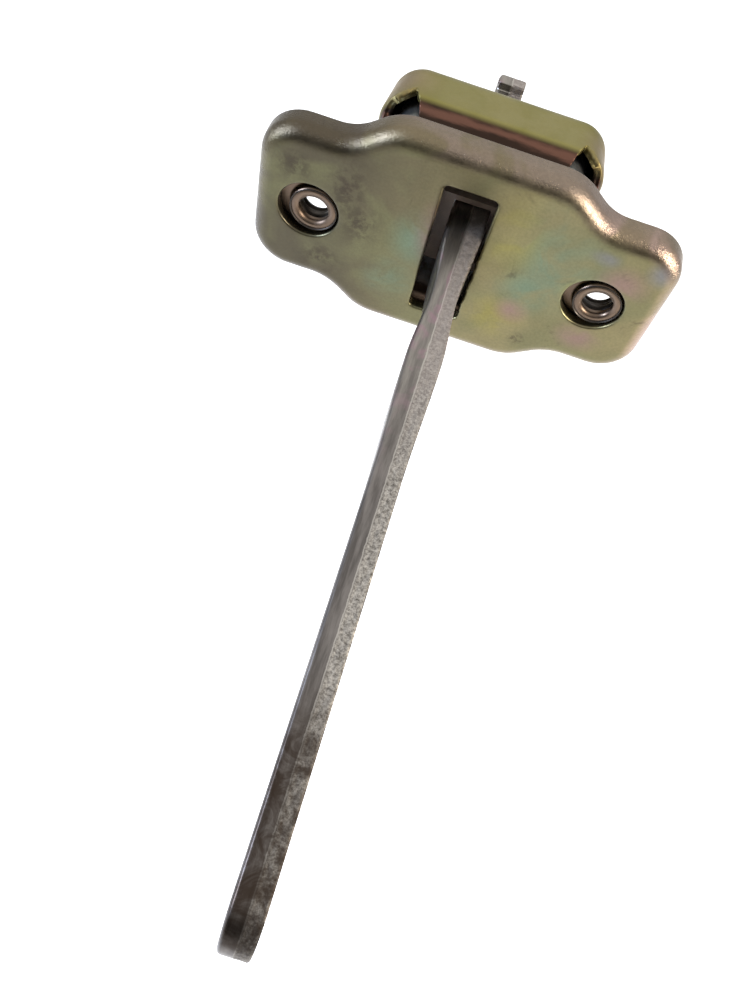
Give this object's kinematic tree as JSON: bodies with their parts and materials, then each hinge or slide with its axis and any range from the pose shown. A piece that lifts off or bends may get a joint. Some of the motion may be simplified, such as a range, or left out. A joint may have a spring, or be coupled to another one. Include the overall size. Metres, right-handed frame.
{
  "type": "vehicle door check",
  "caption": "Vehicle door check: a zinc-plated case with two M6 screw points and a sliding, swinging steel check arm.",
  "frame": {"origin": "midway between the two tapped screw collars, in the plane of the plate's front face, in the arm's slot", "axes": "+X along the line through the two screw holes; -Y out of the plate's front face, the way the arm points; +Z along the slot, across both"},
  "size_m": [0.0706, 0.1438, 0.0488],
  "materials": {
    "yellow_zinc_plate": "yellow-chromated zinc plate, satin, with faint green and pink interference tints and handling smudges",
    "yellow_zinc_cover": "olive-yellow chromated zinc plate, satin, browner in the folded lips",
    "blue_zinc_case": "clear blue-white zinc plate, satin",
    "sheared_steel": "bare sheared strip: smooth burnished band beside a rough fracture band, oil-stained towards the tip",
    "spring_steel": "plain cold-rolled strip",
    "bearing_steel": "ground pin",
    "acetal": "black acetal, greased",
    "black_rubber": "moulded black rubber"
  },
  "bodies": {
    "case": {"front_plate": "yellow_zinc_plate", "inner_case": "blue_zinc_case", "back_cover": "yellow_zinc_cover", "pressure_plate_left": "spring_steel", "pressure_plate_right": "spring_steel", "rubber_cushion_left": "black_rubber", "rubber_cushion_right": "black_rubber"},
    "cage": {"guide_cage": "spring_steel"},
    "arm": {"check_arm": "sheared_steel", "stop_buffer": "black_rubber", "stop_plate": "spring_steel"},
    "carrier_left": {"roller_carrier_left": "spring_steel", "roller_pin_left": "bearing_steel"},
    "carrier_right": {"roller_carrier_right": "spring_steel", "roller_pin_right": "bearing_steel"},
    "wheel_left": {"roller_left": "acetal"},
    "wheel_right": {"roller_right": "acetal"}
  },
  "joints": [
    {"name": "arm_swing", "type": "hinge", "parent": "case", "child": "cage", "pos_m": [0, 0.0132, 0], "axis": [1, 0, 0], "range_deg": [-26.8, 5.2]},
    {"name": "arm_slide", "type": "slide", "parent": "cage", "child": "arm", "axis": [0, 0.9823, 0.1874], "range_m": [0, 0.09]},
    {"name": "carrier_left_float", "type": "slide", "parent": "cage", "child": "carrier_left", "axis": [1, 0, 0], "range_m": [0, 0.0002], "stiffness_N_per_m": 400},
    {"name": "carrier_right_float", "type": "slide", "parent": "cage", "child": "carrier_right", "axis": [-1, 0, 0], "range_m": [0, 0.0002], "stiffness_N_per_m": 400},
    {"name": "roller_left_spin", "type": "hinge", "parent": "carrier_left", "child": "wheel_left", "pos_m": [-0.0061, 0.0132, 0], "axis": [0, -0.1874, 0.9823], "range_deg": [0, 1719.9]},
    {"name": "roller_right_spin", "type": "hinge", "parent": "carrier_right", "child": "wheel_right", "pos_m": [0.0061, 0.0132, 0], "axis": [0, -0.1874, 0.9823], "range_deg": [-1719.9, 0]}
  ],
  "couplings": [
    {"joint": "roller_left_spin", "follows": "arm_slide", "rad_per_m": 333.33},
    {"joint": "roller_right_spin", "follows": "arm_slide", "rad_per_m": -333.33}
  ]
}
